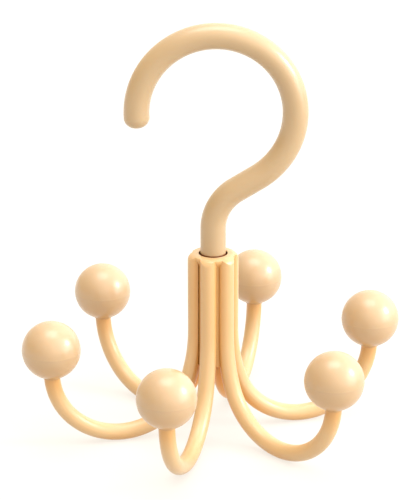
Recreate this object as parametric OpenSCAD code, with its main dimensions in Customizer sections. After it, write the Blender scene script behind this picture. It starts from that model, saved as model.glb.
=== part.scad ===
// Swivel scarf hanger with six curved arms, each ending in a ball.
// Millimetres, +Z up. The origin is on the hub's axis, at the level that the arms stand on.
// The hook lies in the XZ plane and opens towards -X.

/* [Claw] */
// Radius of the circle through the ball centres
reach = 64; // [58:0.5:80]
// Diameter of the arm rods
arm_d = 6.4; // [5.6:0.1:6.6]
// Radius at which the straight columns stand around the hub's axis
column_r = 6.8; // [6.8:0.1:8]
// Radius of the gentle flare between a column and its main bend
flare_r = 67.2; // [45:0.2:90]
// Angle of that flare, in degrees
flare_a = 18.2; // [10:0.1:24]
// Turn of the six arms about the hub's axis, against the hook's plane, in degrees
arm_phase = 14.6; // [0:0.1:60]

/* [Balls] */
// Diameter of the balls
ball_d = 22.6; // [19:0.2:26]
// Height of a ball's centre above the end of its arm's main bend
ball_rise = 9.7; // [9:0.1:12]
// Wall of the two half shells of a ball
ball_wall = 1.8; // [1.2:0.1:2.4]
// How far the collar stands out below the ball
collar_h = 0.6; // [0.3:0.1:1.5]
// Wall of the collar around the arm
collar_wall = 0.5; // [0.4:0.1:1.2]
// Diameter of the spigot on an arm's end
spigot_d = 4.4; // [3.4:0.1:5]
// Length of that spigot
spigot_l = 6.5; // [4:0.1:8]
// Depth of the locating lip under the upper half shell
lip_h = 1.5; // [1:0.1:3]

/* [Hub] */
// Length of the hub from its lower edge to its top face
hub_l = 45; // [36:0.5:60]
// Height of the hub's lower edge above the standing level
hub_z = 29.3; // [26:0.1:32]
// Thickness of the crown plate over the columns
crown_t = 1.1; // [0.8:0.1:2]
// Rounding of the hub's upper edge
shoulder_r = 3.2; // [1.5:0.1:3.4]
// How far the crown stands proud of the columns
crown_proud = 0.05; // [0.03:0.01:0.3]
// Gap all round the stem in the hub's mouth
mouth_gap = 0.5; // [0.3:0.1:0.8]
// Depth of the hub's mouth
mouth_depth = 3; // [2:0.1:8]

/* [Hook] */
// Diameter of the hook's rod
hook_d = 9.8; // [8.6:0.1:10.2]
// Straight stem between the hub's top face and the hook's first bend
stem_l = 10; // [4:0.1:30]
// Centreline radius of the first bend
neck_r = 18.2; // [12:0.1:30]
// Angle of the first bend, in degrees
neck_a = 58.4; // [40:0.1:75]
// Straight length between the two bends
link_l = 9.5; // [2:0.1:20]
// Centreline radius of the hook's bow
bow_r = 29.9; // [22:0.1:40]
// Angle of the hook's bow, in degrees
bow_a = 241.5; // [200:0.5:262]
// Rounding of the hook's tip
tip_r = 4; // [2:0.1:4.2]
// Diameter of the journal that turns in the hub
journal_d = 7.8; // [6.6:0.1:7.8]

/* [Retainer] */
// Outer diameter of the washer under the journal
washer_d = 9.4; // [9.2:0.1:9.6]
// Thickness of the washer
washer_t = 1; // [0.6:0.1:1.4]
// Depth of the recess in the hub's lower end
recess_h = 4.2; // [3.6:0.1:8]
// Diameter of the screw's head
screw_head_d = 6.2; // [5:0.1:7]
// Height of the screw's head
screw_head_h = 1.9; // [1.2:0.1:2.2]
// Diameter of the screw's shank
screw_d = 3.5; // [2.5:0.1:4]
// Length of the screw's shank
screw_l = 16; // [10:0.5:25]

/* [Fits] */
// Radial clearance of the journal in the hub
journal_fit = 0.06; // [0.03:0.01:0.1]
// Free height at each end of the swivel
end_play = 0.3; // [0.3:0.05:0.6]
// Radial clearance of the spigots and the screw in their holes
push_fit = 0.03; // [0.02:0.01:0.05]
// Radial clearance of an arm in the mouth of its ball
arm_gap = 0.2; // [0.15:0.05:0.4]
// Radial clearance of a ball's locating lip
lip_gap = 0.1; // [0.05:0.05:0.3]

/* [Hidden] */
$fn = 96;
ARMS = 6;
// Neighbouring stretches of a rod differ by this radius, and the thinner one enters the other
seam = 0.02;
arm_pitch = 360 / ARMS;
arm_r = arm_d / 2;
ball_r = ball_d / 2;
hook_r = hook_d / 2;
journal_r = journal_d / 2;

// One arm in its own plane: column, flare, main bend, then straight up into the ball
bend_r = (reach - column_r - flare_r * (1 - cos(flare_a))) / (1 + cos(flare_a));
bend_x = reach - bend_r;
bend_z = bend_r + arm_r;
flare_x = column_r + flare_r;
flare_z = bend_z + (flare_r - bend_r) * sin(flare_a);
ball_z = bend_z + ball_rise;
seat_z = bend_z + 1;

// The hub
hub_top = hub_z + hub_l;
crown_z = hub_top - crown_t;
crown_r = column_r + arm_r + crown_proud;
shoulder_z = hub_top - shoulder_r;
bore_r = journal_r + journal_fit;
ledge_z = hub_top - mouth_depth;
recess_z = hub_z + recess_h;
recess_r = washer_d / 2 + end_play;

// The hook, in the XZ plane
neck_z = hub_top + stem_l;
neck_x = neck_r * (1 - cos(neck_a));
link_z = neck_z + neck_r * sin(neck_a);
bow_x0 = neck_x + link_l * sin(neck_a);
bow_z0 = link_z + link_l * cos(neck_a);
bow_x = bow_x0 - bow_r * cos(neck_a);
bow_z = bow_z0 + bow_r * sin(neck_a);
journal_end_z = recess_z - end_play;

// Inside a ball, measured from its centre
ball_seat = seat_z - ball_z;
cavity_r = ball_r - ball_wall;
socket_wall = 1.6;
socket_r = spigot_d / 2 + socket_wall;
socket_top = ball_seat + spigot_l;
lip_r = cavity_r - 2 * lip_gap - lip_h * lip_h / (2 * cavity_r);
lip_wall = 1;

CREAM = [0.94, 0.80, 0.61];
STEEL = [0.72, 0.73, 0.75];

// Part of a round bar bent to radius r in the XZ plane, from angle a0 over angle a
module bent_bar(bar_r, r, a0, a) {
    rotate([90, 0, 0])
        rotate([0, 0, a0])
            rotate_extrude(angle = a)
                translate([r, 0])
                    circle(bar_r);
}

// The same bar, thinner by the seam and longer by it at each end, to enter its neighbours
module bent_link(bar_r, r, a0, a) {
    lap = seam / r * 180 / PI;
    bent_bar(bar_r - seam, r, a0 - lap, a + 2 * lap);
}

// A straight bar that enters its neighbours in the same way
module straight_link(bar_r, l) {
    translate([0, 0, -seam])
        cylinder(r = bar_r - seam, h = l + 2 * seam);
}

// The outer form of the hub's rounded upper edge, from the shoulder up
module shoulder_form() {
    translate([0, 0, shoulder_z])
        rotate_extrude() {
            square([crown_r - shoulder_r, shoulder_r]);
            intersection() {
                translate([crown_r - shoulder_r, 0])
                    circle(shoulder_r);
                square([crown_r, shoulder_r]);
            }
        }
}

// Places a child in the plane of arm number k
module at_arm(k) {
    rotate([0, 0, arm_phase + (k - 1) * arm_pitch])
        children();
}

// Six-sided sleeve with one flat for each arm, and the round crown plate on top
module hub() {
    color(CREAM)
        difference() {
            union() {
                translate([0, 0, hub_z])
                    rotate([0, 0, arm_phase + arm_pitch / 2])
                        cylinder(r = column_r / cos(arm_pitch / 2), h = hub_l - crown_t / 2, $fn = 6);
                intersection() {
                    shoulder_form();
                    translate([0, 0, crown_z])
                        cylinder(r = crown_r + 1, h = crown_t);
                }
            }
            translate([0, 0, hub_z - 1])
                cylinder(r = bore_r, h = hub_l + 2);
            translate([0, 0, ledge_z])
                cylinder(r = hook_r + mouth_gap, h = mouth_depth + 1);
            translate([0, 0, hub_z - 1])
                cylinder(r = recess_r, h = recess_h + 1);
        }
}

// Question-mark hook with its journal and the screw's pilot hole
module hook() {
    color(CREAM)
        difference() {
            union() {
                translate([0, 0, journal_end_z])
                    cylinder(r = journal_r, h = neck_z - journal_end_z);
                translate([0, 0, ledge_z + end_play])
                    cylinder(r = hook_r, h = neck_z - ledge_z - end_play);
                translate([neck_r, 0, neck_z])
                    bent_link(hook_r, neck_r, 180 - neck_a, neck_a);
                translate([neck_x, 0, link_z])
                    rotate([0, neck_a, 0])
                        cylinder(r = hook_r, h = link_l);
                translate([bow_x, 0, bow_z])
                    bent_link(hook_r, bow_r, -neck_a, bow_a);
                translate([bow_x, 0, bow_z])
                    rotate([0, neck_a - bow_a, 0])
                        translate([bow_r, 0, -seam])
                            rod_tip(hook_r - 2 * seam);
            }
            translate([0, 0, journal_end_z - 1])
                cylinder(r = screw_d / 2 + push_fit, h = screw_l - washer_t + 2);
        }
}

// Rounded end of the hook's rod, standing on the bow's end face
module rod_tip(end_r) {
    rotate_extrude() {
        square([end_r - tip_r, tip_r]);
        translate([end_r - tip_r, 0])
            intersection() {
                circle(tip_r);
                square(tip_r);
            }
    }
}

// Flat ring that carries the hub's weight on the journal's end
module washer() {
    color(STEEL)
        translate([0, 0, journal_end_z - washer_t])
            difference() {
                cylinder(r = washer_d / 2, h = washer_t);
                translate([0, 0, -1])
                    cylinder(r = screw_d / 2 + push_fit, h = washer_t + 2);
            }
}

// Pan-head screw from below, with a cross recess
module retaining_screw() {
    slot_w = 1;
    slot_l = screw_head_d * 0.6;
    slot_h = screw_head_h * 0.6;
    head_z = journal_end_z - washer_t - screw_head_h;
    point_l = screw_d / 2;
    color(STEEL)
        translate([0, 0, head_z])
            difference() {
                union() {
                    cylinder(r1 = screw_head_d / 2 - 0.5, r2 = screw_head_d / 2, h = 0.5);
                    translate([0, 0, 0.5])
                        cylinder(r = screw_head_d / 2, h = screw_head_h - 0.5);
                    translate([0, 0, screw_head_h])
                        cylinder(r = screw_d / 2, h = screw_l - point_l);
                    translate([0, 0, screw_head_h + screw_l - point_l])
                        cylinder(r1 = screw_d / 2, r2 = 0.4, h = point_l);
                }
                translate([-slot_l / 2, -slot_w / 2, -1])
                    cube([slot_l, slot_w, slot_h + 1]);
                translate([-slot_w / 2, -slot_l / 2, -1])
                    cube([slot_w, slot_l, slot_h + 1]);
            }
}

// One arm: half-round column on the hub's flat, then a full round rod, then the spigot
module arm(k) {
    color(CREAM)
        at_arm(k) {
            difference() {
                union() {
                    intersection() {
                        translate([column_r, 0, shoulder_z])
                            cylinder(r = arm_r, h = crown_z - shoulder_z);
                        shoulder_form();
                    }
                    translate([column_r, 0, flare_z])
                        cylinder(r = arm_r, h = shoulder_z - flare_z);
                    translate([flare_x, 0, flare_z])
                        bent_link(arm_r, flare_r, 180, flare_a);
                    translate([bend_x, 0, bend_z])
                        bent_bar(arm_r, bend_r, 180 + flare_a, 180 - flare_a);
                    translate([reach, 0, bend_z])
                        straight_link(arm_r, seat_z - bend_z - seam);
                    translate([reach, 0, bend_z])
                        cylinder(r = spigot_d / 2, h = seat_z - bend_z + spigot_l);
                }
                translate([column_r - 4 * arm_r, -2 * arm_r, hub_z])
                    cube([4 * arm_r, 4 * arm_r, hub_l]);
            }
        }
}

// Lower half of a ball, with its collar and the socket that takes the arm's spigot
module ball_lower(k) {
    color(CREAM)
        at_arm(k)
            translate([reach, 0, ball_z])
                difference() {
                    union() {
                        difference() {
                            sphere(ball_r);
                            sphere(cavity_r);
                        }
                        translate([0, 0, -ball_r - collar_h])
                            cylinder(r = arm_r + arm_gap + collar_wall, h = ball_wall + collar_h);
                        intersection() {
                            sphere(ball_r - ball_wall / 2);
                            translate([0, 0, -ball_r])
                                cylinder(r = socket_r, h = ball_r + socket_top);
                        }
                    }
                    cylinder(r = ball_d, h = ball_d);
                    translate([0, 0, -ball_d])
                        cylinder(r = arm_r + arm_gap, h = ball_d + ball_seat);
                    translate([0, 0, -ball_r])
                        cylinder(r = spigot_d / 2 + push_fit, h = ball_d);
                }
}

// Upper half of a ball, with the lip that centres it in the lower half
module ball_upper(k) {
    color(CREAM)
        at_arm(k)
            translate([reach, 0, ball_z])
                difference() {
                    union() {
                        difference() {
                            sphere(ball_r);
                            sphere(cavity_r);
                            translate([0, 0, -ball_d])
                                cylinder(r = ball_d, h = ball_d);
                        }
                        cylinder(r = cavity_r + ball_wall / 4, h = lip_wall);
                        translate([0, 0, -lip_h])
                            cylinder(r = lip_r, h = lip_h + lip_wall);
                    }
                    translate([0, 0, -lip_h - 1])
                        cylinder(r = lip_r - lip_wall, h = lip_h + lip_wall + 2);
                }
}

hub();
hook();
washer();
retaining_screw();
for (k = [1 : ARMS]) {
    arm(k);
    ball_lower(k);
    ball_upper(k);
}
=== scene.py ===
"""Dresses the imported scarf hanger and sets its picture.

The hub, the six arms, the twelve half balls, the swivelling hook and its
retainer are each modelled by a class of their own, in the place of the CAD
solids that they replace. All lengths are in metres, in the frame of the CAD.
"""
import logging
import math
from collections.abc import Callable, Sequence
from dataclasses import dataclass
from enum import Enum

import bpy
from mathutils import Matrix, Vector


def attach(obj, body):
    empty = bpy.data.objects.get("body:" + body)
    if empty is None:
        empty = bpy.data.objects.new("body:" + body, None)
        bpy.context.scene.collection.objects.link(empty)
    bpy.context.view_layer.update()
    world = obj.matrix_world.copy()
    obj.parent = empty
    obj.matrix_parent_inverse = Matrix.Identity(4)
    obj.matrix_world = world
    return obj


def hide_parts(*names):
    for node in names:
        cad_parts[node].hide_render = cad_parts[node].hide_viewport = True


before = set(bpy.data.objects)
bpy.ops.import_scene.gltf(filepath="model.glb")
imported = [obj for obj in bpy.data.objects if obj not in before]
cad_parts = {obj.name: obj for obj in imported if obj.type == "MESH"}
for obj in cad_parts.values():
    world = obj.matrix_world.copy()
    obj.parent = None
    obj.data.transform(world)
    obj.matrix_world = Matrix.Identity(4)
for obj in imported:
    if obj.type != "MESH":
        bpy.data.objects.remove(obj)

MM = 0.001
# Width and height of the picture.
PICTURE = (418, 500)
# Points of a mesh that lie closer than this are one point.
WELD = 0.001 * MM
# How far a cutting solid reaches past the piece that it cuts.
PAST = 1 * MM
# Steps of a full turn round the hub's axis.
HUB_STEPS = 120

Point = tuple[float, float]
Span = tuple[float, float]
Place = tuple[float, float, float]
Colour = tuple[float, float, float]

log = logging.getLogger("scarf_hanger")


class Body(Enum):
    """The two bodies that the swivel joins."""

    CLAW = "claw"
    HOOK = "hook"


class Turn(Enum):
    """The side that a rod bends to, seen from the front with the rod running up."""

    RIGHT = 1
    LEFT = -1


class Cut(Enum):
    """How one solid acts on another."""

    JOIN = "UNION"
    REMOVE = "DIFFERENCE"


class Bench:
    """The modelling steps that the pieces share."""

    @staticmethod
    def clear() -> None:
        """Leave edit mode and deselect every object."""
        if bpy.context.mode != "OBJECT":
            bpy.ops.object.mode_set(mode="OBJECT")
        bpy.ops.object.select_all(action="DESELECT")

    @staticmethod
    def take(piece: bpy.types.Object) -> None:
        """Make a piece the only selected object, and the active one.

        Args:
            piece: The piece that the next steps work on.
        """
        Bench.clear()
        piece.select_set(True)
        bpy.context.view_layer.objects.active = piece

    @staticmethod
    def settle() -> None:
        """Put the selected object's place, turn and scale into its mesh."""
        bpy.ops.object.transform_apply(location=True, rotation=True, scale=True)

    @staticmethod
    def extrude(step: Place | Vector) -> None:
        """Extrude what is selected and move its new end by a step."""
        bpy.ops.mesh.extrude_region_move(TRANSFORM_OT_translate={"value": step})

    @staticmethod
    def arc(
        centre: Point, radius: float, start: float, end: float, steps: int
    ) -> list[Point]:
        """Points along an arc of an outline.

        Args:
            centre: Radius and height of the arc's centre.
            radius: Radius of the arc.
            start: Angle of the first point in degrees, 0 outwards and 90 up.
            end: Angle of the last point in degrees.
            steps: Number of stretches between the points.

        Returns:
            The points from start to end, both included.
        """
        angles = (math.radians(start + (end - start) * i / steps) for i in range(steps + 1))
        return [
            (centre[0] + radius * math.cos(turn), centre[1] + radius * math.sin(turn))
            for turn in angles
        ]

    @staticmethod
    def turned(
        name: str, outline: Sequence[Point], axis_x: float = 0.0, steps: int = 96
    ) -> bpy.types.Object:
        """Draw an outline by extruding a point, and spin it once round an upright axis.

        Args:
            name: Name of the new object.
            outline: Radius and height of each point, from pole to pole or back to the first.
            axis_x: Place of the axis along X.
            steps: Number of steps in the full turn.

        Returns:
            The closed solid of revolution.
        """
        Bench.clear()
        bpy.ops.mesh.primitive_plane_add(size=MM)
        piece = bpy.context.object
        piece.name = name
        bpy.ops.object.mode_set(mode="EDIT")
        bpy.ops.mesh.select_mode(type="VERT")
        bpy.ops.mesh.select_all(action="SELECT")
        bpy.ops.mesh.merge(type="CENTER")
        bpy.ops.transform.translate(value=(axis_x + outline[0][0], 0, outline[0][1]))
        for here, there in zip(outline, outline[1:]):
            Bench.extrude((there[0] - here[0], 0, there[1] - here[1]))
        bpy.ops.mesh.select_all(action="SELECT")
        bpy.ops.mesh.remove_doubles(threshold=WELD)
        bpy.ops.mesh.select_all(action="SELECT")
        bpy.ops.mesh.spin(steps=steps, angle=math.tau, center=(axis_x, 0, 0), axis=(0, 0, 1))
        Bench.close_up()
        bpy.ops.object.mode_set(mode="OBJECT")
        return piece

    @staticmethod
    def close_up() -> None:
        """Merge doubled points of the mesh in edit mode and turn its faces outwards."""
        bpy.ops.mesh.select_all(action="SELECT")
        bpy.ops.mesh.remove_doubles(threshold=WELD)
        bpy.ops.mesh.select_all(action="SELECT")
        bpy.ops.mesh.normals_make_consistent(inside=False)

    @staticmethod
    def select_points(piece: bpy.types.Object, test: Callable[[Vector], bool]) -> None:
        """Select the mesh points that pass a test, and nothing else.

        Args:
            piece: The object, which is in edit mode.
            test: Says for a point's place whether it is selected.
        """
        bpy.ops.mesh.select_mode(type="VERT")
        bpy.ops.mesh.select_all(action="DESELECT")
        bpy.ops.object.mode_set(mode="OBJECT")
        for point in piece.data.vertices:
            point.select = test(piece.matrix_world @ point.co)
        bpy.ops.object.mode_set(mode="EDIT")

    @staticmethod
    def combine(piece: bpy.types.Object, tool: bpy.types.Object, how: Cut) -> None:
        """Join a tool solid to a piece or remove it from the piece, and delete the tool.

        Args:
            piece: The solid that is kept.
            tool: The solid that acts on it.
            how: Whether the tool is joined or removed.
        """
        Bench.take(piece)
        modifier = piece.modifiers.new("combine", "BOOLEAN")
        modifier.operation = how.value
        modifier.solver = "EXACT"
        modifier.object = tool
        bpy.ops.object.modifier_apply(modifier=modifier.name)
        bpy.data.objects.remove(tool)

    @staticmethod
    def soften(
        piece: bpy.types.Object, width: float, angle: float = 40.0, segments: int = 3
    ) -> None:
        """Round a piece's sharp edges with an applied bevel.

        Args:
            piece: The piece to soften.
            width: Width of the rounding.
            angle: Edges that turn by more than this, in degrees, are rounded.
            segments: Number of faces across the rounding.
        """
        Bench.take(piece)
        modifier = piece.modifiers.new("soften", "BEVEL")
        modifier.width = width
        modifier.segments = segments
        modifier.limit_method = "ANGLE"
        modifier.angle_limit = math.radians(angle)
        bpy.ops.object.modifier_apply(modifier=modifier.name)

    @staticmethod
    def place(piece: bpy.types.Object, angle: float = 45.0) -> None:
        """Put a piece's place into its mesh and shade its soft edges smooth.

        Args:
            piece: The finished piece.
            angle: Edges that turn by less than this, in degrees, are shaded smooth.
        """
        Bench.take(piece)
        Bench.settle()
        bpy.ops.object.shade_smooth_by_angle(angle=math.radians(angle))

    @staticmethod
    def copy_round(piece: bpy.types.Object, name: str, angle: float) -> bpy.types.Object:
        """Copy a piece with its own mesh and turn the copy about the upright axis.

        Args:
            piece: The model piece.
            name: Name of the copy.
            angle: Turn in degrees, from +X towards +Y.

        Returns:
            The copy, with the turn in its mesh.
        """
        Bench.take(piece)
        bpy.ops.object.duplicate(linked=False)
        copy = bpy.context.object
        copy.name = name
        copy.rotation_euler.z = math.radians(angle)
        Bench.settle()
        return copy

    @staticmethod
    def fit(piece: bpy.types.Object, body: Body, finish: "Finish", slot: str, *nodes: str) -> None:
        """Give a piece its finish, its body and the CAD nodes that it stands for.

        Args:
            piece: The finished piece.
            body: The body that it moves with.
            finish: The finish of its surface.
            slot: The record's material slot; not used.
            *nodes: Names of the CAD nodes that it replaces.
        """
        piece.data.materials.clear()
        piece.data.materials.append(finish.material())
        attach(piece, body.value)
        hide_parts(*nodes)
        log.info("%s: %d faces, rides on %s", piece.name, len(piece.data.polygons), body.value)


class Rod:
    """A round bar drawn out of a circle in the XZ plane, one stretch after another."""

    # Share of the radius past which a point of the circle counts as outermost.
    OUTERMOST = 0.999

    def __init__(
        self, name: str, start: Point, radius: float, heading: float, points: int = 48
    ) -> None:
        """Add the circle that the bar starts from and enter edit mode.

        Args:
            name: Name of the new object.
            start: Place of the bar's first end along X and Z.
            radius: Radius of the bar.
            heading: Direction in degrees, 0 up and 90 towards +X.
            points: Number of points round the bar.
        """
        Bench.clear()
        self.at = Vector((start[0], 0, start[1]))
        self.heading = math.radians(heading)
        self.radius = radius
        bpy.ops.mesh.primitive_circle_add(
            vertices=points,
            radius=radius,
            fill_type="NGON",
            location=self.at,
            rotation=(0, self.heading, 0),
        )
        self.piece = bpy.context.object
        self.piece.name = name
        bpy.ops.object.mode_set(mode="EDIT")

    @property
    def along(self) -> Vector:
        """Direction that the bar runs in."""
        return Vector((math.sin(self.heading), 0, math.cos(self.heading)))

    @property
    def right(self) -> Vector:
        """Direction to the bar's right, seen from the front with the bar running up."""
        return Vector((math.cos(self.heading), 0, -math.sin(self.heading)))

    def parting_line(self, across: Vector, height: float) -> None:
        """Raise the circle's two outermost points, to draw a fine line along both sides.

        Args:
            across: Direction from the bar's middle to the line.
            height: How far the line stands proud.
        """
        reach = self.radius * self.OUTERMOST
        Bench.select_points(self.piece, lambda p: abs((p - self.at).dot(across)) > reach)
        grow = 1 + height / self.radius
        bpy.ops.transform.resize(value=(grow, grow, grow), center_override=self.at)
        bpy.ops.mesh.select_mode(type="FACE")
        bpy.ops.mesh.select_all(action="SELECT")

    def scale_to(self, radius: float) -> None:
        """Widen or narrow the bar's open end.

        Args:
            radius: Its new radius.
        """
        if radius != self.radius:
            grow = radius / self.radius
            bpy.ops.transform.resize(value=(grow, grow, grow), center_override=self.at)
            self.radius = radius

    def straight(self, length: float, radius: float | None = None, steps: int = 1) -> None:
        """Carry the bar straight on.

        Args:
            length: Length of the stretch.
            radius: Radius at its end, where it changes.
            steps: Number of rings along it.
        """
        first = self.radius
        for i in range(steps):
            step = self.along * (length / steps)
            Bench.extrude(step)
            self.at += step
            if radius is not None:
                self.scale_to(first + (radius - first) * (i + 1) / steps)

    def bend(
        self,
        bend_r: float,
        angle: float,
        turn: Turn,
        steps: int,
        radii: Callable[[float], float] | None = None,
    ) -> None:
        """Carry the bar round an arc.

        Args:
            bend_r: Radius of the arc along the bar's middle.
            angle: Angle of the arc in degrees.
            turn: The side that it bends to.
            steps: Number of rings along it.
            radii: Gives the bar's radius for a share of the arc from 0 to 1, where it changes.
        """
        side = turn.value
        step = math.radians(angle) / steps
        centre = self.at + self.right * bend_r * side
        for i in range(steps):
            bpy.ops.mesh.spin(steps=1, angle=step, center=centre, axis=(0, -side, 0))
            self.heading += step * side
            self.at = centre - self.right * bend_r * side
            if radii is not None:
                self.scale_to(radii((i + 1) / steps))

    def shoulder(self, radius: float) -> None:
        """Step the bar's open end in or out to a new radius in one place."""
        Bench.extrude((0, 0, 0))
        self.scale_to(radius)

    def rounded_end(self, rounding: float, steps: int = 8) -> None:
        """Close the bar with a flat end whose edge is rounded.

        Args:
            rounding: Radius of the rounded edge.
            steps: Number of rings on it.
        """
        flat = self.radius - rounding
        risen = 0.0
        for i in range(1, steps + 1):
            turn = math.pi / 2 * i / steps
            rise = rounding * math.sin(turn)
            step = self.along * (rise - risen)
            Bench.extrude(step)
            self.at += step
            risen = rise
            self.scale_to(flat + rounding * math.cos(turn))

    def finish(self) -> bpy.types.Object:
        """Close the mesh and leave edit mode.

        Returns:
            The bar.
        """
        Bench.close_up()
        bpy.ops.object.mode_set(mode="OBJECT")
        return self.piece


class Graph:
    """The node tree of one material, built node by node."""

    # Cosines between which a surface turns from facing the axis to facing away.
    TURNED_IN = (-0.6, 0.4)

    def __init__(self, name: str) -> None:
        """Start a material with a principled shader.

        Args:
            name: Name of the material.
        """
        self.made = bpy.data.materials.new(name)
        self.made.use_nodes = True
        self.tree = self.made.node_tree
        self.shader = self.tree.nodes["Principled BSDF"]
        source = self.add("ShaderNodeTexCoord")
        self.place = source.outputs["Object"]
        self.normal = source.outputs["Normal"]

    def add(self, kind: str, **settings: object) -> bpy.types.Node:
        """Add a node and set its properties.

        Args:
            kind: Type of the node.
            **settings: Properties of the node and their values.

        Returns:
            The node.
        """
        node = self.tree.nodes.new(kind)
        for key, value in settings.items():
            setattr(node, key, value)
        return node

    def link(self, source: bpy.types.NodeSocket, target: bpy.types.NodeSocket) -> None:
        """Join an output to an input."""
        self.tree.links.new(source, target)

    def set(self, **values: object) -> None:
        """Set constant values on the shader's own sockets, with spaces written as underscores."""
        for key, value in values.items():
            self.shader.inputs[key.replace("_", " ")].default_value = value

    def noise(
        self, scale: float, detail: float = 2.0, stretch: Place | None = None
    ) -> bpy.types.NodeSocket:
        """A noise over the piece.

        Args:
            scale: Waves per metre.
            detail: Number of finer waves laid over it.
            stretch: Factors on X, Y and Z. One below 1 draws the pattern out along its axis.

        Returns:
            The noise value, from 0 to 1.
        """
        node = self.add("ShaderNodeTexNoise")
        node.inputs["Scale"].default_value = scale
        node.inputs["Detail"].default_value = detail
        source = self.place
        if stretch is not None:
            mapping = self.add("ShaderNodeMapping")
            mapping.inputs["Scale"].default_value = stretch
            self.link(source, mapping.inputs["Vector"])
            source = mapping.outputs["Vector"]
        self.link(source, node.inputs["Vector"])
        return node.outputs["Fac"]

    def span(
        self, value: bpy.types.NodeSocket, source: Span, target: Span
    ) -> bpy.types.NodeSocket:
        """Carry a value from one range to another, smoothly and without leaving it.

        Args:
            value: The value that is read.
            source: The range that it is read in.
            target: The range that it is carried to.

        Returns:
            The new value.
        """
        node = self.add("ShaderNodeMapRange", interpolation_type="SMOOTHSTEP")
        node.inputs["From Min"].default_value, node.inputs["From Max"].default_value = source
        node.inputs["To Min"].default_value, node.inputs["To Max"].default_value = target
        self.link(value, node.inputs["Value"])
        return node.outputs["Result"]

    def blend(
        self, share: bpy.types.NodeSocket, first: Colour | bpy.types.NodeSocket, second: Colour
    ) -> bpy.types.NodeSocket:
        """Blend two colours.

        Args:
            share: Share of the second colour, from 0 to 1.
            first: The colour, or the output that gives it, where the share is 0.
            second: The colour where the share is 1.

        Returns:
            The blended colour.
        """
        node = self.add("ShaderNodeMix", data_type="RGBA")
        self.link(share, node.inputs["Factor"])
        if isinstance(first, bpy.types.NodeSocket):
            self.link(first, node.inputs["A"])
        else:
            node.inputs["A"].default_value = (*first, 1)
        node.inputs["B"].default_value = (*second, 1)
        return node.outputs["Result"]

    def near_axis(self, radius: Span, height: Span) -> bpy.types.NodeSocket:
        """A share that is 1 near the upright axis and below a height, and fades to 0 outside.

        Args:
            radius: Distances from the axis between which it fades out, or in where they fall.
            height: Heights between which it fades out, or in where they fall.

        Returns:
            The share.
        """
        distance = self.add("ShaderNodeVectorMath", operation="LENGTH")
        self.link(self.from_axis(), distance.inputs[0])
        split = self.add("ShaderNodeSeparateXYZ")
        self.link(self.place, split.inputs[0])
        near = self.span(distance.outputs["Value"], radius, (1, 0))
        below = self.span(split.outputs["Z"], height, (1, 0))
        return self.product(near, below)

    def from_axis(self) -> bpy.types.NodeSocket:
        """Measure the level way from the upright axis to the place.

        Returns:
            The way, with no upright part.
        """
        level = self.add("ShaderNodeVectorMath", operation="MULTIPLY")
        level.inputs[1].default_value = (1, 1, 0)
        self.link(self.place, level.inputs[0])
        return level.outputs["Vector"]

    def towards_axis(self) -> bpy.types.NodeSocket:
        """Tell a surface that faces the upright axis from one that faces away.

        Returns:
            A share that is 1 where it faces the axis and 0 where it faces away.
        """
        outwards = self.add("ShaderNodeVectorMath", operation="NORMALIZE")
        self.link(self.from_axis(), outwards.inputs[0])
        facing = self.add("ShaderNodeVectorMath", operation="DOT_PRODUCT")
        self.link(outwards.outputs["Vector"], facing.inputs[0])
        self.link(self.normal, facing.inputs[1])
        return self.span(facing.outputs["Value"], self.TURNED_IN, (1, 0))

    def product(
        self, first: bpy.types.NodeSocket, second: bpy.types.NodeSocket
    ) -> bpy.types.NodeSocket:
        """Multiply two values.

        Args:
            first: One value.
            second: The other.

        Returns:
            Their product.
        """
        both = self.add("ShaderNodeMath", operation="MULTIPLY")
        self.link(first, both.inputs[0])
        self.link(second, both.inputs[1])
        return both.outputs["Value"]

    def bump(
        self,
        height: bpy.types.NodeSocket,
        depth: float,
        strength: float,
        over: bpy.types.NodeSocket | None = None,
    ) -> bpy.types.NodeSocket:
        """Turn a height into relief.

        Args:
            height: The height, from 0 to 1.
            depth: Depth of the relief.
            strength: Share of the relief that is used.
            over: Relief that this one lies on.

        Returns:
            The normal of the relief.
        """
        node = self.add("ShaderNodeBump")
        node.inputs["Distance"].default_value = depth
        node.inputs["Strength"].default_value = strength
        self.link(height, node.inputs["Height"])
        if over is not None:
            self.link(over, node.inputs["Normal"])
        return node.outputs["Normal"]


@dataclass(frozen=True)
class Finish:
    """A finish of the hanger's surfaces, made once and shared by the pieces that have it."""

    name: str

    def material(self) -> bpy.types.Material:
        """Return the finish's material, which is made the first time."""
        return bpy.data.materials.get(self.name) or self.make(Graph(self.name))

    def make(self, graph: Graph) -> bpy.types.Material:
        """Dress a new graph with the finish."""
        return graph.made


@dataclass(frozen=True)
class PaintedShade:
    """A zone round the upright axis with painted shade: a darker colour laid on where shade falls.

    Its colour fades out over a range of distances from the axis and over a range of
    heights, or fades in where a range is given from high to low. An inward zone shows
    only where the surface faces the axis.
    """

    colour: Colour
    radius: Span
    height: Span
    inward: bool = False


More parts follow.
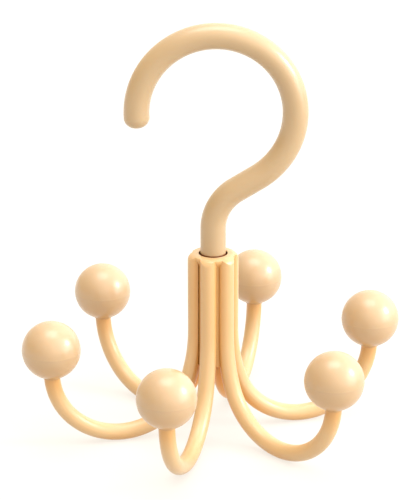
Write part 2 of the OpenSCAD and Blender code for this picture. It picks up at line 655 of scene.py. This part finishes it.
@dataclass(frozen=True)
class MouldedPlastic(Finish):
    """Cream plastic from a polished mould: cloudy, a little translucent, with painted shade."""

    pale: Colour
    warm: Colour
    zones: tuple[PaintedShade, ...] = ()
    coat: float = 0.7
    coat_roughness: float = 0.25
    roughness: float = 0.36
    glow: float = 0.2
    glow_depth: float = 0.9 * MM
    glow_tint: Colour = (1.0, 0.55, 0.25)
    cloud_scale: float = 38
    grain_scale: float = 420
    grain_swing: Span = (-0.04, 0.06)
    peel_scale: float = 520
    peel_depth: float = 0.05 * MM
    scuff_scale: float = 900
    scuff_stretch: Place = (1, 1, 0.12)
    scuff_depth: float = 0.02 * MM

    def make(self, graph: Graph) -> bpy.types.Material:
        """Dress a new graph with the finish.

        Args:
            graph: The empty graph.

        Returns:
            The material.
        """
        cloud = graph.span(graph.noise(self.cloud_scale, detail=3), (0.35, 0.7), (0, 1))
        body = graph.blend(cloud, self.pale, self.warm)
        # Painted shade: each zone blends its darker colour into the body where shade falls.
        for zone in self.zones:
            share = graph.near_axis(zone.radius, zone.height)
            if zone.inward:
                share = graph.product(share, graph.towards_axis())
            body = graph.blend(share, body, zone.colour)
        graph.link(body, graph.shader.inputs["Base Color"])
        low, high = (self.roughness + swing for swing in self.grain_swing)
        grain = graph.noise(self.grain_scale, detail=3)
        graph.link(graph.span(grain, (0.3, 0.75), (low, high)), graph.shader.inputs["Roughness"])
        peel = graph.bump(graph.noise(self.peel_scale), self.peel_depth, strength=0.25)
        scratches = graph.noise(self.scuff_scale, detail=1, stretch=self.scuff_stretch)
        scuffs = graph.bump(scratches, self.scuff_depth, strength=0.12, over=peel)
        graph.link(scuffs, graph.shader.inputs["Normal"])
        graph.set(
            Subsurface_Weight=self.glow,
            Subsurface_Radius=self.glow_tint,
            Subsurface_Scale=self.glow_depth,
            IOR=1.5,
            Coat_Weight=self.coat,
            Coat_Roughness=self.coat_roughness,
        )
        return graph.made


@dataclass(frozen=True)
class ZincPlate(Finish):
    """Zinc-plated steel with a faint crystal pattern and a fine grain."""

    pale: Colour = (0.72, 0.73, 0.76)
    dull: Colour = (0.52, 0.53, 0.56)
    crystal_scale: float = 900
    stain_scale: float = 700
    grain_scale: float = 2600
    grain_depth: float = 0.02 * MM

    def make(self, graph: Graph) -> bpy.types.Material:
        """Dress a new graph with the finish.

        Args:
            graph: The empty graph.

        Returns:
            The material.
        """
        cells = graph.add("ShaderNodeTexVoronoi")
        cells.inputs["Scale"].default_value = self.crystal_scale
        graph.link(graph.place, cells.inputs["Vector"])
        share = graph.span(cells.outputs["Distance"], (0.1, 0.7), (0, 1))
        graph.link(graph.blend(share, self.pale, self.dull), graph.shader.inputs["Base Color"])
        stain = graph.noise(self.stain_scale, detail=4)
        graph.link(graph.span(stain, (0.3, 0.7), (0.26, 0.42)), graph.shader.inputs["Roughness"])
        grain = graph.noise(self.grain_scale, detail=3)
        relief = graph.bump(grain, self.grain_depth, strength=0.3)
        graph.link(relief, graph.shader.inputs["Normal"])
        graph.set(Metallic=1.0)
        return graph.made


@dataclass(frozen=True)
class PaperWhite(Finish):
    """The pale sheet that the hanger stands on, lit a little from below."""

    tone: Colour = (0.17, 0.17, 0.17)
    shade: Colour = (0.165, 0.165, 0.165)
    light: float = 0.78
    glow: Colour = (1.0, 0.95, 0.87)
    cloud_scale: float = 6

    def make(self, graph: Graph) -> bpy.types.Material:
        """Dress a new graph with the finish.

        Args:
            graph: The empty graph.

        Returns:
            The material.
        """
        tone = graph.blend(graph.noise(self.cloud_scale), self.tone, self.shade)
        graph.link(tone, graph.shader.inputs["Base Color"])
        graph.set(
            Roughness=0.9,
            Specular_IOR_Level=0.1,
            Emission_Color=(*self.glow, 1),
            Emission_Strength=self.light,
        )
        return graph.made


@dataclass(frozen=True)
class Layout:
    """Sizes that several sub-assemblies share."""

    reach: float = 64 * MM
    arm_r: float = 3.2 * MM
    column_r: float = 6.8 * MM
    phase: float = 14.6
    count: int = 6
    hub_z: float = 29.3 * MM
    hub_top: float = 74.3 * MM
    crown_t: float = 1.1 * MM
    crown_r: float = 10.05 * MM
    shoulder_r: float = 3.2 * MM
    ball_z: float = 40.51 * MM
    journal_end: float = 33.2 * MM

    @property
    def pitch(self) -> float:
        """Angle between neighbouring arms, in degrees."""
        return 360 / self.count

    @property
    def crown_z(self) -> float:
        """Height of the crown's underside."""
        return self.hub_top - self.crown_t

    @property
    def shoulder_z(self) -> float:
        """Height at which the shoulder's rounding starts."""
        return self.hub_top - self.shoulder_r

    def azimuth(self, number: int) -> float:
        """Direction of an arm in degrees, from its number."""
        return self.phase + (number - 1) * self.pitch

    def shoulder(self, start: float, end: float, steps: int) -> list[Point]:
        """Points on the shoulder's rounding, between two angles in degrees."""
        centre = (self.crown_r - self.shoulder_r, self.shoulder_z)
        return Bench.arc(centre, self.shoulder_r, start, end, steps)


@dataclass
class Hub:
    """Six-sided sleeve under a crown, with the mouth that the hook's stem turns in."""

    layout: Layout
    finish: MouldedPlastic
    bore_r: float = 3.96 * MM
    mouth_r: float = 5.55 * MM
    mouth_depth: float = 3 * MM
    recess_r: float = 5 * MM
    recess_h: float = 4.2 * MM
    recess_edge: float = 0.3 * MM
    edge_r: float = 0.15 * MM
    corner: float = 3 * MM
    groove_r: float = 7.05 * MM
    head_r: float = 7.7 * MM
    brow_h: float = 0.9 * MM
    brow_out: float = 0.7 * MM
    web_h: float = 3.2 * MM
    rim_w: float = 1 * MM

    def crown(self) -> bpy.types.Object:
        """Turn the crown, which rounds off between the arms' heads into the grooves.

        Returns:
            The solid crown.
        """
        lay = self.layout
        flat = lay.crown_r - lay.shoulder_r
        dome_end = math.degrees(math.acos((self.head_r - flat) / lay.shoulder_r))
        dome = lay.shoulder(90, dome_end, steps=5)
        top = dome[-1][1]
        quarter = [math.pi / 2 * i / 6 for i in range(1, 7)]
        brow = [
            (self.head_r + self.brow_out * math.sin(turn), top - self.brow_h * (1 - math.cos(turn)))
            for turn in quarter
        ]
        rim_r, rim_z = brow[-1]
        mean_r, swing = (rim_r + self.groove_r) / 2, (rim_r - self.groove_r) / 2
        web = [
            (mean_r + swing * math.cos(math.pi * i / 12), rim_z - self.web_h * i / 12)
            for i in range(1, 13)
        ]
        foot = rim_z - self.web_h
        under = [(self.groove_r - self.rim_w, foot), (0, foot)]
        outline = [(0, lay.hub_top), *dome, *brow, *web, *under]
        return Bench.turned("crown", outline, steps=HUB_STEPS)

    def sleeve(self) -> bpy.types.Object:
        """Round the corners of a six-sided face and extrude it to the sleeve.

        Returns:
            The solid sleeve.
        """
        lay = self.layout
        Bench.clear()
        bpy.ops.mesh.primitive_circle_add(
            vertices=lay.count,
            radius=lay.column_r / math.cos(math.radians(lay.pitch / 2)),
            fill_type="NGON",
            location=(0, 0, lay.hub_z),
            rotation=(0, 0, math.radians(lay.phase)),
        )
        piece = bpy.context.object
        bpy.ops.object.mode_set(mode="EDIT")
        bpy.ops.mesh.select_mode(type="VERT")
        bpy.ops.mesh.select_all(action="SELECT")
        bpy.ops.mesh.bevel(offset=self.corner, segments=6, affect="VERTICES")
        bpy.ops.mesh.select_all(action="SELECT")
        Bench.extrude((0, 0, lay.crown_z - lay.hub_z))
        Bench.close_up()
        Bench.place(piece)
        Bench.soften(piece, self.edge_r, angle=60)
        return piece

    def hollow(self) -> bpy.types.Object:
        """Turn the form of the bore, its mouth and the recess at its lower end.

        Returns:
            The solid that is cut out of the hub.
        """
        lay = self.layout
        recess_z = lay.hub_z + self.recess_h
        ledge_z = lay.hub_top - self.mouth_depth
        lip_r = self.mouth_r + self.edge_r
        outline = [
            (0, lay.hub_z - PAST),
            (self.recess_r + self.recess_edge, lay.hub_z - PAST),
            (self.recess_r + self.recess_edge, lay.hub_z),
            (self.recess_r, lay.hub_z + self.recess_edge),
            (self.recess_r, recess_z),
            (self.bore_r, recess_z),
            (self.bore_r, ledge_z),
            (self.mouth_r, ledge_z),
            *Bench.arc((lip_r, lay.hub_top - self.edge_r), self.edge_r, 180, 90, steps=6),
            (lip_r, lay.hub_top + PAST),
            (0, lay.hub_top + PAST),
        ]
        return Bench.turned("hollow", outline, steps=HUB_STEPS)

    def build(self) -> None:
        """Make the hub and put it in the claw."""
        piece = self.crown()
        Bench.combine(piece, self.sleeve(), Cut.JOIN)
        Bench.combine(piece, self.hollow(), Cut.REMOVE)
        piece.name = "hub_shell"
        Bench.place(piece, angle=40)
        Bench.fit(piece, Body.CLAW, self.finish, "claw_plastic", "hub")


@dataclass
class Arms:
    """Six J-shaped arms, each a half-round column that flares and bends up into its ball."""

    layout: Layout
    finish: MouldedPlastic
    flare_r: float = 67.2 * MM
    flare_a: float = 18.2
    end_r: float = 3.1 * MM
    taper_from: float = 0.42
    spigot_r: float = 2.2 * MM
    spigot_l: float = 6.5 * MM
    seat_over_bend: float = 1 * MM
    line_h: float = 0.05 * MM
    head_l: float = 5.6 * MM
    edge_r: float = 0.3 * MM
    ring_w: float = 4 * MM

    @property
    def bend_r(self) -> float:
        """Work out the main bend, which brings the arm out to the ball.

        Returns:
            The radius of the bend.
        """
        lay = self.layout
        turn = math.cos(math.radians(self.flare_a))
        return (lay.reach - lay.column_r - self.flare_r * (1 - turn)) / (1 + turn)

    def radius_on_bend(self, share: float) -> float:
        """Work out how thick the arm is on its main bend: thinner past the lowest point.

        Args:
            share: Share of the bend, from 0 at the hub's side to 1 at the ball.

        Returns:
            The radius of the arm there.
        """
        through = max(0.0, (share - self.taper_from) / (1 - self.taper_from))
        ease = through * through * (3 - 2 * through)
        return self.layout.arm_r + (self.end_r - self.layout.arm_r) * ease

    def rod(self) -> bpy.types.Object:
        """Draw one arm out along +X, from the hub's top to the spigot in its ball.

        Returns:
            The arm, not yet cut to the hub.
        """
        lay = self.layout
        bend_z = self.bend_r + lay.arm_r
        flare_z = bend_z + (self.flare_r - self.bend_r) * math.sin(math.radians(self.flare_a))
        rod = Rod("arm_model", (lay.column_r, lay.hub_top), lay.arm_r, 180)
        rod.parting_line(Vector((0, 1, 0)), self.line_h)
        rod.straight(self.head_l, steps=16)
        rod.straight(lay.hub_top - flare_z - self.head_l, steps=10)
        rod.bend(self.flare_r, self.flare_a, Turn.LEFT, steps=10)
        rod.bend(self.bend_r, 180 - self.flare_a, Turn.LEFT, steps=56, radii=self.radius_on_bend)
        rod.straight(self.seat_over_bend)
        rod.shoulder(self.spigot_r)
        rod.straight(self.spigot_l)
        return rod.finish()

    def fit_to_hub(self, piece: bpy.types.Object) -> None:
        """Cut the column flat against the sleeve and round its head to the shoulder.

        Args:
            piece: The arm along +X.
        """
        lay = self.layout
        above = lay.hub_top + PAST
        depth = 4 * lay.arm_r
        height = above - lay.hub_z
        Bench.clear()
        bpy.ops.mesh.primitive_cube_add(
            size=1,
            location=(lay.column_r - depth / 2, 0, lay.hub_z + height / 2),
            scale=(depth, depth, height),
        )
        Bench.combine(piece, bpy.context.object, Cut.REMOVE)
        arch = lay.shoulder(0, 90, steps=12)
        wide = lay.crown_r + self.ring_w
        outline = [*arch, (arch[-1][0], above), (wide, above), (wide, arch[0][1]), arch[0]]
        Bench.combine(piece, Bench.turned("ring", outline, steps=HUB_STEPS), Cut.REMOVE)
        Bench.soften(piece, self.edge_r, angle=24)

    def build(self) -> None:
        """Make one arm and put six copies of it round the hub."""
        model = self.rod()
        self.fit_to_hub(model)
        Bench.place(model)
        for number in range(1, self.layout.count + 1):
            piece = Bench.copy_round(model, f"arm_rod_{number}", self.layout.azimuth(number))
            Bench.fit(piece, Body.CLAW, self.finish, "claw_plastic", f"arm_{number}")
        bpy.data.objects.remove(model)


@dataclass
class Balls:
    """Six balls, each of two half shells that meet in a fine bead at the equator."""

    layout: Layout
    finish: MouldedPlastic
    arms: Arms
    radius: float = 11.25 * MM
    wall: float = 1.8 * MM
    cap_filling: float = 1.2 * MM
    cup_filling: float = 0.8 * MM
    bead_h: float = 0.034 * MM
    bead_w: float = 0.2 * MM
    bead: tuple[Point, ...] = ((0.2, 1.3), (0.8, 0.8), (1.0, 0.35), (0.7, 0.0))
    foot_lift: float = 0.1 * MM
    foot_edge: float = 0.2 * MM
    collar_wall: float = 0.55 * MM
    arm_gap: float = 0.1 * MM
    lip_h: float = 1.4 * MM
    lip_wall: float = 0.9 * MM
    lip_gap: float = 0.3 * MM
    lip_root: float = 0.5 * MM

    def equator(self, side: int) -> list[Point]:
        """Outline of the bead on one half, from the ball's skin to the parting face.

        Args:
            side: 1 for the upper half, -1 for the lower half.

        Returns:
            The points, with heights from the ball's centre.
        """
        return [
            (self.radius + self.bead_h * rise, side * self.bead_w * width)
            for rise, width in self.bead
        ]

    def upper(self) -> bpy.types.Object:
        """Turn the upper half shell, with the lip that centres it.

        Returns:
            The half shell on the axis of the arm along +X.
        """
        inner = self.radius - self.wall
        lip_r = inner - self.lip_gap
        outline = [
            *Bench.arc((0, 0), self.radius, 90, 3, steps=30),
            *self.equator(1),
            (lip_r, 0),
            (lip_r, -self.lip_h),
            (lip_r - self.lip_wall, -self.lip_h),
            (lip_r - self.lip_wall, self.lip_root),
            *Bench.arc((0, 0), inner - self.cap_filling, 8, 90, steps=14),
        ]
        return self.at_centre("ball_cap_model", outline)

    def lower(self) -> bpy.types.Object:
        """Turn the lower half shell, with its flat foot, its collar and the mouth for the arm.

        Returns:
            The half shell on the axis of the arm along +X.
        """
        inner = self.radius - self.wall - self.cup_filling
        mouth = self.arms.end_r + self.arm_gap
        collar = mouth + self.collar_wall
        skin_end = math.degrees(math.acos(collar / self.radius))
        inner_end = math.degrees(math.acos(mouth / inner))
        foot = -self.radius + self.foot_lift
        edge = self.foot_edge
        bead = self.equator(-1)[::-1]
        outline = [
            *bead,
            *Bench.arc((0, 0), self.radius, -3, -skin_end, steps=30),
            *Bench.arc((collar - edge, foot + edge), edge, 0, -90, steps=4),
            (mouth + edge, foot),
            (mouth, foot + edge),
            (mouth, -self.radius + self.wall),
            *Bench.arc((0, 0), inner, -inner_end, -2, steps=18),
            (inner, 0),
            bead[0],
        ]
        return self.at_centre("ball_cup_model", outline)

    def at_centre(self, name: str, outline: Sequence[Point]) -> bpy.types.Object:
        """Turn an outline given from the ball's centre.

        Args:
            name: Name of the half shell.
            outline: Radius and height of each point, from the ball's centre.

        Returns:
            The half shell.
        """
        lay = self.layout
        raised = [(max(r, 0.0), lay.ball_z + z) for r, z in outline]
        piece = Bench.turned(name, raised, axis_x=lay.reach)
        Bench.place(piece, angle=50)
        return piece

    def build(self) -> None:
        """Make one ball and put six copies of its halves on the arms."""
        for half, model in (("upper", self.upper()), ("lower", self.lower())):
            for number in range(1, self.layout.count + 1):
                azimuth = self.layout.azimuth(number)
                piece = Bench.copy_round(model, f"ball_{half}_shell_{number}", azimuth)
                Bench.fit(piece, Body.CLAW, self.finish, "ball_plastic", f"ball_{half}_{number}")
            bpy.data.objects.remove(model)


@dataclass
class Hook:
    """Question-mark hook with the journal that turns in the hub."""

    layout: Layout
    finish: MouldedPlastic
    rod_r: float = 4.9 * MM
    stem_l: float = 10 * MM
    neck_r: float = 18.2 * MM
    neck_a: float = 58.4
    link_l: float = 9.5 * MM
    bow_r: float = 29.9 * MM
    bow_a: float = 241.5
    tip_round: float = 4 * MM
    journal_r: float = 3.9 * MM
    journal_edge: float = 0.4 * MM
    journal_lap: float = 1 * MM
    collar_under: float = 2.7 * MM
    collar_edge: float = 0.2 * MM
    pilot_r: float = 1.78 * MM
    pilot_h: float = 16 * MM

    def rod(self) -> bpy.types.Object:
        """Draw the hook out from its stem to its tip, then the journal from the stem down.

        Returns:
            The hook.
        """
        lay = self.layout
        foot = lay.hub_top - self.collar_under
        rod = Rod("hook_rod", (0, foot), self.rod_r - self.collar_edge, 0, points=64)
        rod.straight(self.collar_edge, self.rod_r)
        rod.straight(lay.hub_top + self.stem_l - foot - self.collar_edge, steps=6)
        rod.bend(self.neck_r, self.neck_a, Turn.RIGHT, steps=20)
        rod.straight(self.link_l, steps=4)
        rod.bend(self.bow_r, self.bow_a, Turn.LEFT, steps=96)
        rod.rounded_end(self.tip_round, steps=12)
        piece = rod.finish()
        top = foot + self.journal_lap
        journal = Rod("journal", (0, top), self.journal_r, 180, points=64)
        journal.straight(top - lay.journal_end - self.journal_edge, steps=4)
        journal.rounded_end(self.journal_edge, steps=3)
        Bench.combine(piece, journal.finish(), Cut.JOIN)
        return piece

    def pilot(self) -> bpy.types.Object:
        """Turn the form of the screw's pilot hole.

        Returns:
            The solid that is cut out of the journal.
        """
        base = self.layout.journal_end - PAST
        top = self.layout.journal_end + self.pilot_h
        outline = [(0, base), (self.pilot_r, base), (self.pilot_r, top), (0, top + self.pilot_r)]
        return Bench.turned("pilot", outline, steps=48)

    def build(self) -> None:
        """Make the hook and put it on the swivel."""
        piece = self.rod()
        Bench.combine(piece, self.pilot(), Cut.REMOVE)
        Bench.place(piece)
        Bench.fit(piece, Body.HOOK, self.finish, "hook_plastic", "hook")


@dataclass
class Retainer:
    """Washer and pan-head screw that hold the hook's journal in the hub."""

    layout: Layout
    finish: ZincPlate
    washer_r: float = 4.7 * MM
    washer_t: float = 1 * MM
    washer_edge: float = 0.12 * MM
    hole_r: float = 1.78 * MM
    head_r: float = 3.1 * MM
    head_h: float = 1.9 * MM
    head_edge: float = 0.1 * MM
    dome_share: float = 0.62
    shank_r: float = 1.75 * MM
    shank_l: float = 16 * MM
    core_r: float = 1.3 * MM
    pitch: float = 1.25 * MM
    plain_l: float = 1.2 * MM
    tip_l: float = 2 * MM
    cross_w: float = 0.9 * MM
    cross_l: float = 3.7 * MM
    cross_h: float = 1.1 * MM
    cross_taper: float = 0.55

    def washer(self) -> None:
        """Turn the washer with its broken edges."""
        top = self.layout.journal_end
        low = top - self.washer_t
        edge = self.washer_edge
        outline = [
            (self.hole_r, low + edge),
            (self.hole_r + edge, low),
            (self.washer_r - edge, low),
            (self.washer_r, low + edge),
            (self.washer_r, top - edge),
            (self.washer_r - edge, top),
            (self.hole_r + edge, top),
            (self.hole_r, top - edge),
            (self.hole_r, low + edge),
        ]
        piece = Bench.turned("washer_ring", outline)
        Bench.place(piece, angle=30)
        Bench.fit(piece, Body.HOOK, self.finish, "steel", "washer")

    def thread(self, start: float, end: float) -> list[Point]:
        """Outline of the screw's thread, drawn as ribs one pitch apart.

        Args:
            start: Height at which the thread starts.
            end: Height at which it ends.

        Returns:
            Radius and height of each point, going up.
        """
        core, crest = self.core_r, self.shank_r
        rib = ((core, 0.1), (crest, 0.45), (crest, 0.55), (core, 0.9))
        turns = int((end - start) / self.pitch)
        return [(r, start + (i + share) * self.pitch) for i in range(turns) for r, share in rib]

    def screw(self) -> None:
        """Turn the screw with its domed head and cut its cross recess."""
        seat = self.layout.journal_end - self.washer_t
        low = seat - self.head_h
        point = seat + self.shank_l
        dome_h = self.head_h * self.dome_share
        quarter = [math.pi / 2 * i / 8 for i in range(9)]
        outline = [
            *((self.head_r * math.sin(a), low + dome_h * (1 - math.cos(a))) for a in quarter),
            (self.head_r, seat - self.head_edge),
            (self.head_r - self.head_edge, seat),
            (self.shank_r, seat),
            (self.shank_r, seat + self.plain_l),
            *self.thread(seat + self.plain_l, point - self.tip_l),
            (0, point),
        ]
        piece = Bench.turned("screw_body", outline, steps=72)
        taper = (self.cross_taper, self.cross_taper, 1)
        bottom = (0, 0, low + self.cross_h)
        for size in ((self.cross_l, self.cross_w), (self.cross_w, self.cross_l)):
            Bench.clear()
            bpy.ops.mesh.primitive_cube_add(
                size=1, location=(0, 0, low), scale=(*size, 2 * self.cross_h)
            )
            tool = bpy.context.object
            bpy.ops.object.mode_set(mode="EDIT")
            Bench.select_points(tool, lambda p: p.z > low)
            bpy.ops.transform.resize(value=taper, center_override=bottom)
            bpy.ops.object.mode_set(mode="OBJECT")
            Bench.combine(piece, tool, Cut.REMOVE)
        Bench.place(piece, angle=35)
        Bench.fit(piece, Body.HOOK, self.finish, "steel", "retaining_screw")

    def build(self) -> None:
        """Make the washer and the screw."""
        self.washer()
        self.screw()


@dataclass(frozen=True)
class Softbox:
    """A rectangular studio lamp."""

    name: str
    place: Place
    size: tuple[float, float]
    power: float

    def light(self, aim: Vector) -> None:
        """Add the lamp and turn it to a point.

        Args:
            aim: The point that it shines at.
        """
        lamp = bpy.data.lights.new(self.name, "AREA")
        lamp.shape = "RECTANGLE"
        lamp.size, lamp.size_y = self.size
        lamp.energy = self.power
        holder = bpy.data.objects.new(self.name, lamp)
        bpy.context.scene.collection.objects.link(holder)
        holder.location = self.place
        holder.rotation_euler = (aim - Vector(self.place)).to_track_quat("-Z", "Y").to_euler()


@dataclass
class Studio:
    """White sheet, soft lamps and the camera at the picture's view."""

    sheet: PaperWhite
    sheet_w: float = 8.0
    aim: Place = (0.0, 0.0, 72.4 * MM)
    distance: float = 925.1 * MM
    elevation: float = 20.757
    focal_px: float = 2409.0
    axis_px: tuple[float, float] = (213.16, 257.23)
    sensor: float = 36.0
    clip: Span = (0.05, 30.0)
    sky: Span = (0.25, 2.7)
    sky_from: Place = (0.8, 0.0, 0.6)
    sky_low: Colour = (1.0, 0.77, 0.47)
    sky_high: Colour = (1.0, 1.0, 1.0)
    lamps_aim: Place = (0.0, 0.0, 0.08)
    lamps: tuple[Softbox, ...] = (
        Softbox("key", (0.95, -0.1, 0.56), (0.24, 0.28), 5.5),
        Softbox("panel", (1.1, -0.45, 0.36), (0.7, 0.8), 4.0),
        Softbox("overhead", (0.0, -0.05, 1.25), (0.8, 0.62), 6.0),
    )

    def floor(self) -> None:
        """Lay the sheet."""
        Bench.clear()
        bpy.ops.mesh.primitive_plane_add(size=self.sheet_w)
        floor = bpy.context.object
        floor.name = "studio_sheet"
        floor.data.materials.append(self.sheet.material())

    def surroundings(self) -> None:
        """Fill the room with soft light that comes mostly from above and from the right."""
        world = bpy.data.worlds.new("studio")
        bpy.context.scene.world = world
        world.use_nodes = True
        tree = world.node_tree
        direction = tree.nodes.new("ShaderNodeTexCoord")
        facing = tree.nodes.new("ShaderNodeVectorMath")
        facing.operation = "DOT_PRODUCT"
        facing.inputs[1].default_value = Vector(self.sky_from).normalized()
        tree.links.new(direction.outputs["Generated"], facing.inputs[0])
        ranges = {}
        for name, target in (("Strength", self.sky), ("Color", (0.0, 1.0))):
            fade = tree.nodes.new("ShaderNodeMapRange")
            fade.inputs["From Min"].default_value, fade.inputs["From Max"].default_value = -1, 1
            fade.inputs["To Min"].default_value, fade.inputs["To Max"].default_value = target
            tree.links.new(facing.outputs["Value"], fade.inputs["Value"])
            ranges[name] = fade.outputs["Result"]
        tint = tree.nodes.new("ShaderNodeMix")
        tint.data_type = "RGBA"
        tint.inputs["A"].default_value = (*self.sky_low, 1)
        tint.inputs["B"].default_value = (*self.sky_high, 1)
        tree.links.new(ranges["Color"], tint.inputs["Factor"])
        background = tree.nodes["Background"]
        tree.links.new(ranges["Strength"], background.inputs["Strength"])
        tree.links.new(tint.outputs["Result"], background.inputs["Color"])

    def camera(self) -> None:
        """Set the camera to the picture's view and framing."""
        lens = bpy.data.cameras.new("camera")
        holder = bpy.data.objects.new("camera", lens)
        bpy.context.scene.collection.objects.link(holder)
        aim = Vector(self.aim)
        tilt = math.radians(self.elevation)
        back = Vector((0, -math.cos(tilt), math.sin(tilt)))
        holder.location = aim + back * self.distance
        holder.rotation_euler = (-back).to_track_quat("-Z", "Y").to_euler()
        long_side = max(PICTURE)
        lens.sensor_width = self.sensor
        lens.lens = self.focal_px * self.sensor / long_side
        lens.shift_x = (PICTURE[0] / 2 - self.axis_px[0]) / long_side
        lens.shift_y = (self.axis_px[1] - PICTURE[1] / 2) / long_side
        lens.clip_start, lens.clip_end = self.clip
        bpy.context.scene.camera = holder

    def build(self) -> None:
        """Set up the whole studio."""
        self.floor()
        self.surroundings()
        for lamp in self.lamps:
            lamp.light(Vector(self.lamps_aim))
        self.camera()
        view = bpy.context.scene.view_settings
        view.view_transform = "Standard"
        view.look = "None"


def plastics() -> tuple[MouldedPlastic, MouldedPlastic, MouldedPlastic, MouldedPlastic]:
    """Mix the plastics, with painted shade that darkens them in the grooves, the mouth, near the
    sheet, under the balls, on the arms' inner faces, on the balls' lower halves and round the
    hook's stem.

    Returns:
        The finishes of the hub, the arms, the balls and the hook.
    """
    everywhere = (1.0, 2.0)
    # Painted shade in the grooves round the hub below the crown, fading out towards the columns'
    # outer faces.
    groove = PaintedShade((0.56, 0.29, 0.082), (7.2 * MM, 10.4 * MM), (73.2 * MM, 74.2 * MM))
    # Painted shadow: near-black brown in the hub's mouth, where the gap round the stem lies in
    # shade.
    mouth = PaintedShade((0.09, 0.02, 0.006), (5.5 * MM, 5.75 * MM), (73.9 * MM, 74.25 * MM))
    # Painted shade on the arms' upper ends, under the balls.
    tips = PaintedShade((0.54, 0.29, 0.09), (63 * MM, 52 * MM), (30 * MM, 17 * MM))
    # Painted shade on the faces of the arms that turn towards the axis, under the hub.
    inside = PaintedShade((0.68, 0.29, 0.02), (16 * MM, 30 * MM), (28 * MM, 42 * MM), inward=True)
    # Painted shade on the arms' lowest parts, where they stand on the sheet.
    soles = PaintedShade((0.52, 0.28, 0.09), everywhere, (0.5 * MM, 5 * MM))
    # Partly the lower shells' own warmer tone, partly painted shade that grows darker towards the
    # bottom of each ball.
    cups = PaintedShade((0.47, 0.27, 0.105), everywhere, (30 * MM, 41 * MM))
    # Painted shadow: a near-black ring round the foot of the hook's stem, just above the hub, and
    # on the journal below.
    stem = PaintedShade((0.17, 0.035, 0.008), (8 * MM, 9 * MM), (74.25 * MM, 74.85 * MM))
    hub = MouldedPlastic(
        "hub_plastic_gloss",
        pale=(0.555, 0.366, 0.178),
        warm=(0.54, 0.354, 0.168),
        zones=(groove, mouth),
        coat=0.3,
        coat_roughness=0.34,
    )
    arm = MouldedPlastic(
        "arm_plastic_gloss",
        pale=hub.pale,
        warm=hub.warm,
        zones=(groove, inside, soles, tips),
        coat=0.45,
        coat_roughness=0.32,
    )
    ball = MouldedPlastic(
        "ball_plastic_gloss", pale=(0.45, 0.304, 0.168), warm=(0.44, 0.296, 0.16), zones=(cups,)
    )
    hook = MouldedPlastic(
        "hook_plastic_gloss", pale=(0.425, 0.295, 0.158), warm=(0.415, 0.285, 0.15), zones=(stem,)
    )
    return hub, arm, ball, hook


def main() -> None:
    """Build the hanger and the studio."""
    logging.basicConfig(level=logging.INFO, format="%(name)s %(message)s")
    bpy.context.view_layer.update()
    hub_plastic, arm_plastic, ball_plastic, hook_plastic = plastics()
    layout = Layout()
    arms = Arms(layout, arm_plastic)
    parts = (
        Hub(layout, hub_plastic),
        arms,
        Balls(layout, ball_plastic, arms),
        Hook(layout, hook_plastic),
        Retainer(layout, ZincPlate("zinc_plate")),
        Studio(PaperWhite("paper_white")),
    )
    for part in parts:
        part.build()
        log.info("%s is built", type(part).__name__)


if __name__ == "__main__":
    main()
